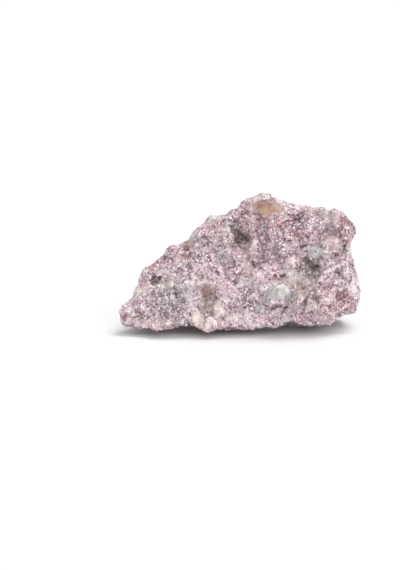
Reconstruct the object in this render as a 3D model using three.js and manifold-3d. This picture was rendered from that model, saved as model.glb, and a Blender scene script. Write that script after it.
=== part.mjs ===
// A hand specimen of lepidolite rock: one rough broken lump of lilac mica with quartz in it.
// Millimetres, +Z up. The broad broken face looks along -Y, and the lump rests on Z = 0.
import * as THREE from "three";
import { ConvexGeometry } from "three/addons/geometries/ConvexGeometry.js";
import { ConvexHull } from "three/addons/math/ConvexHull.js";
import { ImprovedNoise } from "three/addons/math/ImprovedNoise.js";
import { TessellateModifier } from "three/addons/modifiers/TessellateModifier.js";
import { mergeVertices } from "three/addons/utils/BufferGeometryUtils.js";
import Module from "manifold-3d";

// Driving dimensions: the lump's whole length along X, depth along Y and height along Z.
const LENGTH = 80;
const DEPTH = 41;
const HEIGHT = 45.4;

// How sharply broken faces meet. A higher number gives sharper edges.
const EDGE_SHARPNESS = 120;
// Most times that a triangle is halved, and rounds of evening out the triangles after that.
const HALVINGS = 16;
const EVENING_ROUNDS = 8;

// Each mass of mica is given by the corners where its large broken faces meet. Spacing is the
// longest side of its triangles, and relief is the share of the rock's relief that it takes.
const MASSES = {
  lump: {
    spacing: 3.1,
    relief: 1,
    corners: {
      tipFoot: [-40.8, -14.5, 2.3],
      tipShoulder: [-41.2, -10, 8.4],
      tipCrown: [-37.6, -7, 8.4],
      tipBack: [-37, 1, 3],
      slopeLow: [-36.6, -5, 15.8],
      slopeMiddle: [-32.4, -4, 24.4],
      slopeUpper: [-27.2, -3, 27.6],
      slopeHigh: [-8.7, 0, 38.8],
      peak: [6.9, -1, 46.4],
      peakBack: [8.4, 2.4, 42.6],
      ridgeFrontMiddle: [14, -6.5, 40.4],
      ridgeFrontRight: [27, -7, 38.8],
      ridgeBackRight: [29.2, 4, 40.6],
      rightHigh: [33.8, -3, 33.4],
      rightMiddle: [38, -1, 22],
      rightNose: [40.6, 0, 12.4],
      rightFoot: [38.8, -2, 5.4],
      frontShoulder: [30.5, -10, 31],
      frontBelly: [31, -13, 12.5],
      frontFootRight: [28, -12, 2.9],
      frontFootMiddle: [11.4, -16.2, 4.2],
      frontFootLeft: [-14, -16.8, 5.4],
      frontFootTip: [-32, -18, 2.9],
      backTipTop: [-27, 9, 15],
      backTipFoot: [-30, 9, 2],
      backMiddleTop: [-7, 15, 28],
      backMiddleFoot: [-8, 20.5, 2],
      backRidge: [4, 12, 37],
      backRightRidge: [28, 13, 32],
      backRightTop: [25, 19, 22],
      backRightFoot: [21, 21.5, 3],
      rightBackHigh: [37, 8, 21],
      rightBackFoot: [36, 10, 3],
      restTipFront: [-25, -2, -0.7],
      restFront: [-5, -0.6, -0.6],
      restRightFront: [23, -0.4, -0.6],
      restRightBack: [25, 12, -0.9],
      restBack: [-3, 13, -0.9],
      restTipBack: [-23, 4, -0.9],
    },
  },
  rightKnob: {
    spacing: 2.7,
    relief: 0.5,
    corners: {
      creviceTop: [29.6, -11, 37.4],
      creviceMiddle: [32.4, -12, 32.6],
      tooth: [34.6, -9.5, 27.6],
      toothBack: [35.6, -4, 26.6],
      topFront: [31, -9, 39.6],
      top: [30.2, -3, 41],
      topRight: [33.4, -4, 39.6],
      shoulder: [35.4, -4.5, 37.6],
      nose: [38.4, -4, 34.2],
      underNose: [37.5, -5, 31.8],
      frontNose: [36, -10.5, 34.6],
      back: [36, 3, 34],
      backTop: [30, 4, 39],
      backFoot: [34, 3, 26],
      root: [26, -4, 34],
    },
  },
  rightBlock: {
    spacing: 2.9,
    relief: 0.7,
    corners: {
      rimFoot: [20.4, -16.8, 12],
      rimMiddle: [23.7, -15.8, 17.5],
      rimTop: [27, -14, 22.6],
      top: [34.4, -9.8, 25],
      side: [38, -5.5, 20.4],
      sideNose: [40, -6, 12.6],
      sideFoot: [40, -6.6, 6.3],
      foot: [30.4, -11.6, 2.2],
      footLeft: [20, -14.6, 3.3],
      belly: [28, -16, 12.2],
      rootTop: [34, -2, 18],
      root: [28, -4, 12],
      rootFoot: [23, -6, 7],
    },
  },
  leftBlock: {
    spacing: 2.9,
    relief: 0.8,
    corners: {
      foot: [-26, -19.2, 4],
      footRight: [-17, -18, 4.2],
      right: [-15.6, -16.4, 11],
      top: [-19, -12.8, 18],
      left: [-31, -10.4, 14],
      leftFoot: [-34, -15.4, 4.5],
      front: [-24, -18.4, 8],
      root: [-22, -5, 12],
      rootFoot: [-24, -6, 3],
      rootRight: [-16, -8, 8],
    },
  },
  pinkLump: {
    spacing: 2.5,
    relief: 0.3,
    corners: {
      topLeft: [14, -12, 26.4],
      topRight: [18.6, -11.6, 26],
      right: [19.4, -12.4, 24],
      footRight: [17.4, -13.4, 21.8],
      footLeft: [13.4, -13.6, 22.4],
      left: [12.8, -12.8, 24.6],
      front: [16, -14.2, 24.4],
      root: [16, -8, 24],
    },
  },
  quartzLump: {
    spacing: 2.5,
    relief: 0.3,
    corners: {
      topLeft: [26.6, -10.8, 32.4],
      topRight: [32, -10.6, 34],
      right: [33.8, -10.8, 30],
      footRight: [32.4, -13.2, 27],
      footLeft: [27, -13.4, 27.4],
      left: [25, -12.2, 29.6],
      front: [30, -14, 30],
      root: [29, -5, 30],
    },
  },
  quartzSlab: {
    spacing: 2.5,
    relief: 0.45,
    corners: {
      left: [6.4, -16.6, 12.8],
      topLeft: [9.2, -15.2, 17],
      top: [12.4, -14.6, 18.6],
      topRight: [15.6, -14.8, 17.4],
      right: [18.2, -15.4, 15],
      footRight: [15.4, -17.4, 10.8],
      footLeft: [9.4, -18.2, 10],
      front: [12.4, -17.8, 13.6],
      root: [12, -10, 13.4],
    },
  },
  creamBlock: {
    spacing: 2.7,
    relief: 0.35,
    corners: {
      foot: [-13.4, -18.6, 1.6],
      left: [-15.9, -17, 4],
      topLeft: [-14.4, -16.8, 9.2],
      topRight: [-9.6, -17, 8.4],
      right: [-8.8, -17.8, 3.4],
      front: [-12.4, -19.4, 5.6],
      root: [-12, -9, 5],
      rootLeft: [-15, -11, 3],
      rootRight: [-9, -11, 3],
    },
  },
};

// Crystals with flat faces of their own, by the corners of their faces.
const CRYSTALS = {
  tanCrystal: [
    [7.4, -4.8, 43.7], [11.8, -5, 42.2], [15.2, -6.4, 40.4], [10, -8, 38.2],
    [6, -8, 38.4], [3.9, -6.4, 40.8], [8, 0, 41], [12, -1, 39],
  ],
  pinkPrism: [
    [2.9, -11.6, 31.9], [4.6, -11.2, 31.7], [5.6, -12.6, 29.4], [5, -14.2, 25],
    [1.6, -14.2, 25.2], [1.5, -12.8, 28.6], [3.6, -13.6, 29.4], [4, -7, 29], [3, -8, 25],
  ],
  greyLump: [
    [14, -17, 14.2], [18.2, -16.8, 14], [18.6, -16.8, 11.8], [15.8, -18.1, 10.4],
    [13, -17.9, 11.2], [15.8, -18.3, 12.8], [16, -12, 12],
  ],
  backCrystal: [
    [12, 17, 30], [18, 16.4, 31], [21, 18, 26], [15, 20.4, 24.6], [10.6, 19, 27], [16, 12, 28],
  ],
};

// Relief of the broken surface, coarse to fine. Each chip is a small flat break.
const RELIEF = [
  { chip: 12, height: 0.7, tilt: 0.15 },
  { chip: 5.5, height: 0.45, tilt: 0.24 },
];
const RIPPLE = { size: 4, height: 0.3 };
// How far chips and ripples stand out at most: past this height they are broken off.
const HIGHEST = 0.5;

// Pits and swellings: where, how wide along X, Y and Z, how far they go in (less than 0) or out,
// and how far they lean to the right, in degrees.
const FEATURES = {
  darkPit: { at: [-0.8, -9, 31.6], size: [3.4, 7, 7], rise: -4.4, lean: -8 },
  smokyPit: { at: [22, -12, 23.6], size: [6, 8, 6.5], rise: -3.8, lean: -30 },
  smokyTrough: { at: [18.6, -14, 17.5], size: [4.2, 8, 8], rise: -2, lean: 40 },
  brownPit: { at: [-11.4, -15, 12.6], size: [4, 7, 6.8], rise: -3.4, lean: 5 },
  tipPit: { at: [-27.5, -9, 17], size: [3, 5, 3], rise: -2, lean: 0 },
  tipPitLow: { at: [-21.7, -13, 12.5], size: [2.8, 5, 3.4], rise: -1.8, lean: -20 },
  tipCrevice: { at: [-34.4, -11, 6.2], size: [2.4, 4, 4.6], rise: -1.8, lean: 20 },
  neckSwelling: { at: [-36, -6, 13.8], size: [2.8, 6, 2.8], rise: 1.3, lean: 60 },
  tipSwelling: { at: [-40.6, -11, 6], size: [3, 5, 5], rise: 1.6, lean: 0 },
  slopeDent: { at: [-20.4, -2, 29.4], size: [8, 9, 5], rise: -1.9, lean: 55 },
  topDent: { at: [18, 0, 41.8], size: [12, 9, 5.4], rise: -2.3, lean: 80 },
  topDentRight: { at: [23.6, 0, 41], size: [12, 9, 4], rise: -1.9, lean: 80 },
  bluishDent: { at: [-6, -11, 23], size: [6, 7, 6], rise: -1.6, lean: 20 },
  middleDent: { at: [9, -12, 24], size: [5, 7, 7], rise: -1.4, lean: 30 },
  lowerLeftDent: { at: [-18.6, -14, 5], size: [3.4, 6, 5], rise: -1.6, lean: 0 },
  slabDent: { at: [6, -16, 10], size: [5, 7, 5], rise: -1.4, lean: 30 },
  upperSlopeDent: { at: [-16.4, -1, 33], size: [3, 7, 3.4], rise: -0.6, lean: 50 },
  upperSlopeBulge: { at: [-9.8, -1, 37.4], size: [4, 7, 4], rise: 2, lean: 50 },
  ridgeDent: { at: [-5, 0, 40.2], size: [2.2, 8, 2.2], rise: -0.8, lean: 50 },
  ridgeSwelling: { at: [2.6, 0, 43.8], size: [2.6, 8, 2.8], rise: 1.1, lean: 50 },
  behindCrystal: { at: [12, -2, 43.6], size: [5, 7, 4], rise: -2.3, lean: 0 },
  rightBrow: { at: [21, -8, 35], size: [8, 8, 4.5], rise: 1, lean: 80 },
  rightFootHollow: { at: [33.4, -8, 2.4], size: [7, 9, 4.2], rise: -4.6, lean: 0 },
  crystalSeat: { at: [8.6, -8, 36.4], size: [6, 6, 4], rise: 1.9, lean: 0 },
  footHollow: { at: [2, -7.8, 0.2], size: [30, 7, 3.6], rise: -4.2, lean: 0 },
  frontArch: { at: [16, -12, 1.6], size: [7, 9, 3.4], rise: -2.2, lean: 0 },
  leftArch: { at: [-20, -10, 0.8], size: [7, 10, 3.4], rise: -2.6, lean: 0 },
  backHollow: { at: [6, 18, 20], size: [12, 8, 9], rise: -3.2, lean: 15 },
  backLedge: { at: [24, 20, 10], size: [10, 8, 8], rise: 1.4, lean: -10 },
  backTipHollow: { at: [-20, 12, 14], size: [8, 7, 6], rise: -2, lean: 0 },
};

const gradientNoise = new ImprovedNoise();
const wasm = await Module();
wasm.setup();

const total = (values) => values.reduce((sum, value) => sum + value, 0);
const vectorsOf = (corners) => Object.values(corners).map((corner) => new THREE.Vector3(...corner));

// A repeatable number from 0 to 1 for the three whole numbers of a cell and a seed.
function chance(i, j, k, seed) {
  const wave = Math.sin(i * 127.1 + j * 311.7 + k * 74.7 + seed * 53.9) * 43758.5453;
  return wave - Math.floor(wave);
}

// The 27 cells around the one that holds a point.
function cellsAround(point) {
  const steps = [-1, 0, 1];
  const { x, y, z } = point.clone().floor();
  return steps.flatMap((i) => steps.flatMap((j) => steps.map((k) => [x + i, y + j, z + k])));
}

// The height of the chip that holds a point. Space is shared out between scattered
// centres, one in each cell, and each centre has a height and a slope of its own.
function chipHeight(point, { chip, height, tilt }) {
  const scaled = point.clone().divideScalar(chip);
  let nearest = Infinity;
  let rise = 0;
  for (const cell of cellsAround(scaled)) {
    const shift = new THREE.Vector3(chance(...cell, 1), chance(...cell, 2), chance(...cell, 3));
    const offset = scaled.clone().sub(shift.add(new THREE.Vector3(...cell)));
    if (offset.length() >= nearest) continue;
    nearest = offset.length();
    const slope = new THREE.Vector3(chance(...cell, 4), chance(...cell, 5), chance(...cell, 6));
    slope.subScalar(0.5).multiplyScalar(2 * tilt * chip);
    rise = height * (2 * chance(...cell, 7) - 1) + slope.dot(offset);
  }
  return rise;
}

// How far a pit or a swelling moves a point, from nothing at its rim to its full rise inside.
function featureHeight(point, { at, size, rise, lean }) {
  const offset = point.clone().sub(new THREE.Vector3(...at));
  offset.applyAxisAngle(new THREE.Vector3(0, 1, 0), THREE.MathUtils.degToRad(-lean));
  const reach = offset.divide(new THREE.Vector3(...size)).length();
  return rise * THREE.MathUtils.smoothstep(1 - reach, 0, 0.7);
}

function reliefHeight(point) {
  const chips = RELIEF.map((layer) => chipHeight(point, layer));
  const marks = Object.values(FEATURES).map((feature) => featureHeight(point, feature));
  const at = point.clone().divideScalar(RIPPLE.size);
  const ripple = RIPPLE.height * gradientNoise.noise(at.x, at.y, at.z);
  return Math.min(HIGHEST, total(chips) + ripple) + total(marks);
}

// Where the ray from the heart through a point leaves the broken faces, which are eased
// into each other where they meet, and which way the eased surface looks there.
function easedSpot(point, heart, faces) {
  const direction = point.clone().sub(heart).normalize();
  const closeness = faces.map((face) => {
    const distance = face.constant - face.normal.dot(heart);
    return face.normal.dot(direction) / distance;
  });
  const closest = Math.max(...closeness);
  const shares = closeness.map((value) => Math.max(value / closest, 0) ** EDGE_SHARPNESS);
  const reach = 1 / (closest * total(shares) ** (1 / EDGE_SHARPNESS));
  const normal = new THREE.Vector3();
  faces.forEach((face, i) => normal.addScaledVector(face.normal, shares[i]));
  return { place: direction.multiplyScalar(reach).add(heart), normal: normal.normalize() };
}

// The vertices that share a triangle with each vertex.
function neighboursOf(index, count) {
  const near = Array.from({ length: count }, () => new Set());
  for (let i = 0; i < index.count; i += 3) {
    const corners = [index.getX(i), index.getX(i + 1), index.getX(i + 2)];
    corners.forEach((corner) => corners.forEach((other) => near[corner].add(other)));
  }
  near.forEach((set, corner) => set.delete(corner));
  return near.map((set) => [...set]);
}

// The geometry with its positions alone, and each shared vertex kept once.
function bare(geometry) {
  geometry.deleteAttribute("normal");
  geometry.deleteAttribute("uv");
  return mergeVertices(geometry, 1e-4);
}

// A rough mass: its broken faces are divided into small even triangles, which then get relief.
function massGeometry({ corners, spacing, relief }) {
  const points = vectorsOf(corners);
  const { faces } = new ConvexHull().setFromPoints(points);
  const heart = new THREE.Box3().setFromPoints(points).getCenter(new THREE.Vector3());
  const divided = new TessellateModifier(spacing, HALVINGS).modify(new ConvexGeometry(points));
  const geometry = bare(divided);
  const places = geometry.getAttribute("position");
  const near = neighboursOf(geometry.index, places.count);
  let spots = near.map((_, i) => easedSpot(new THREE.Vector3().fromBufferAttribute(places, i), heart, faces));
  for (let round = 0; round < EVENING_ROUNDS; round++) {
    spots = near.map((others) => {
      const sum = new THREE.Vector3();
      others.forEach((other) => sum.add(spots[other].place));
      return easedSpot(sum.divideScalar(others.length), heart, faces);
    });
  }
  spots.forEach(({ place, normal }, i) => {
    const point = normal.clone().multiplyScalar(relief * reliefHeight(place)).add(place);
    places.setXYZ(i, point.x, point.y, point.z);
  });
  return geometry;
}

function solidOf(geometry) {
  const { index, attributes } = bare(geometry);
  return new wasm.Manifold(
    new wasm.Mesh({
      numProp: 3,
      vertProperties: new Float32Array(attributes.position.array),
      triVerts: new Uint32Array(index.array),
    }),
  );
}

function geometryOf(solid) {
  const { vertProperties, triVerts } = solid.getMesh();
  const geometry = new THREE.BufferGeometry();
  geometry.setAttribute("position", new THREE.BufferAttribute(vertProperties, 3));
  geometry.setIndex(new THREE.BufferAttribute(triVerts, 1));
  return geometry;
}

// The outer skin alone, so that pockets sealed in between joined masses are filled.
function filled(solid) {
  return solid.decompose().reduce((most, body) => (body.volume() > most.volume() ? body : most));
}

// Everything under Z = 0, which is taken off so that the lump rests on flat patches.
function underFloor() {
  const wide = 3 * LENGTH;
  return solidOf(new THREE.BoxGeometry(wide, wide, wide).translate(0, 0, -wide / 2));
}

function rockGeometry() {
  const masses = Object.values(MASSES).map(massGeometry);
  const crystals = Object.values(CRYSTALS).map((corners) => new ConvexGeometry(vectorsOf(corners)));
  const joined = [...masses, ...crystals].map(solidOf).reduce((rock, piece) => rock.add(piece));
  const geometry = geometryOf(filled(joined.subtract(underFloor())));
  geometry.computeBoundingBox();
  const size = geometry.boundingBox.getSize(new THREE.Vector3());
  const middle = geometry.boundingBox.getCenter(new THREE.Vector3());
  geometry.translate(-middle.x, -middle.y, 0);
  geometry.scale(LENGTH / size.x, DEPTH / size.y, HEIGHT / size.z);
  geometry.computeVertexNormals();
  return geometry;
}

const lepidolite = new THREE.MeshStandardMaterial({
  color: new THREE.Color(0.72, 0.56, 0.63),
  roughness: 0.55,
  metalness: 0,
});

const rock = new THREE.Mesh(rockGeometry(), lepidolite);
rock.name = "rock";

const specimen = new THREE.Group();
specimen.add(rock);

export default specimen;
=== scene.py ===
"""A hand specimen of lepidolite rock: lilac mica with quartz in it, lying on a pale floor."""

import math

import bpy
import numpy as np
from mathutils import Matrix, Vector


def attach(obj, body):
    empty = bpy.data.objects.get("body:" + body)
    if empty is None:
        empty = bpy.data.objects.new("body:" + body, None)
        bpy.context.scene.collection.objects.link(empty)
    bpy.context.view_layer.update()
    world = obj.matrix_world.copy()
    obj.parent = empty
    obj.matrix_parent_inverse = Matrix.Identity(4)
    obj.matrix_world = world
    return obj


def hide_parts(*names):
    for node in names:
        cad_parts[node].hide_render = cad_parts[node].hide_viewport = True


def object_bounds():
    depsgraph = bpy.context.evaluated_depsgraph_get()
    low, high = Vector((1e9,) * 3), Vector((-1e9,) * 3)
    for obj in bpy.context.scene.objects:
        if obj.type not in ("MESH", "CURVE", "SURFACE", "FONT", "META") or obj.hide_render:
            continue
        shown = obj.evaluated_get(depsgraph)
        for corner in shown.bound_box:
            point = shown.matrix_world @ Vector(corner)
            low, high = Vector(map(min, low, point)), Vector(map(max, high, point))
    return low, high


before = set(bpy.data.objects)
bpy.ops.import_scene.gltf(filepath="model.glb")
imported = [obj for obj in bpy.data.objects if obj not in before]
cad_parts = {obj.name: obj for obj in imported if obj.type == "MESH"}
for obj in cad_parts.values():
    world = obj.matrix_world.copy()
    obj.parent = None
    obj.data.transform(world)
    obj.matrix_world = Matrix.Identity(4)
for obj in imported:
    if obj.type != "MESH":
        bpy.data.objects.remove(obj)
cad_low, cad_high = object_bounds()

MM = 0.001

# The camera: how far above level it looks down, its lens, and how far away it stands.
ELEVATION = math.radians(12)
LENS = 100
SENSOR_WIDTH = 36
DISTANCE = 523.4 * MM
# The floor point under the rock's front edge, and where the camera aims from there.
FRONT_FLOOR = Vector((0, -8.8, 0)) * MM
AIM_RIGHT = -13.4 * MM
AIM_UP = 15.2 * MM

# The rock's surface is rebuilt from cells of this size, after points this near to each other
# are joined, both in millimetres.
CELL = 0.4
WELD = 0.002

# Relief of broken mica: chunks with crevices between them, and small flat breaks on those.
MICA_CHUNKS = {"size": 2.7, "height": 0.1, "tilt": 0.1, "seed": 11}
MICA_FACETS = {"size": 0.8, "height": 0.07, "tilt": 0.26, "seed": 12}
# Quartz breaks in wider, smoother faces.
QUARTZ_FACETS = {"size": 2.0, "height": 0.16, "tilt": 0.24, "seed": 23}
# The chunks' borders are bent by noise of this size, by up to the reach, both in millimetres.
RUFFLE_SIZE = 1.1
RUFFLE_REACH = 0.5
RUFFLE_SEED = 91
# A low crust of soft noise lies over everything.
CRUST = {"size": 1.2, "seed": 81}
CRUST_HEIGHT = 0.14
# Crevices: their depth, how far from a chunk's border they reach, in chunk sizes, and between
# which values of a noise they open.
CREVICE_DEPTH = 0.22
CREVICE_REACH = (0.02, 0.3)
CREVICE_NOISE = {"size": 3.4, "seed": 85}
CREVICE_OPENS = (0.34, 0.62)
# How much of the quartz breaks and of the crust a mineral has, and how smooth the tan one is.
MINERAL_BREAKS = 0.8
MINERAL_CRUST = 0.5
TAN_SMOOTHNESS = 0.75
# There is no relief below the first of these heights, so that the rock rests flat, and it is
# full above the second.
RELIEF_GROWS = (0.05, 0.5)
# The seeds of one break's draws differ by these.
AXIS_SEED = 31
SLOPE_SEED = 93
LEVEL_SEED = 7
PICK_SEED = 9


def patch(across, up, half_width, half_height, lean=0, seen=1.0):
    """A mineral patch of the front face, in millimetres and degrees turned to the right.

    Seen is the mineral's share in it, from 0 to 1.
    """
    return {"at": (across, up), "size": (half_width, half_height), "lean": lean, "seen": seen}


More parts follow.
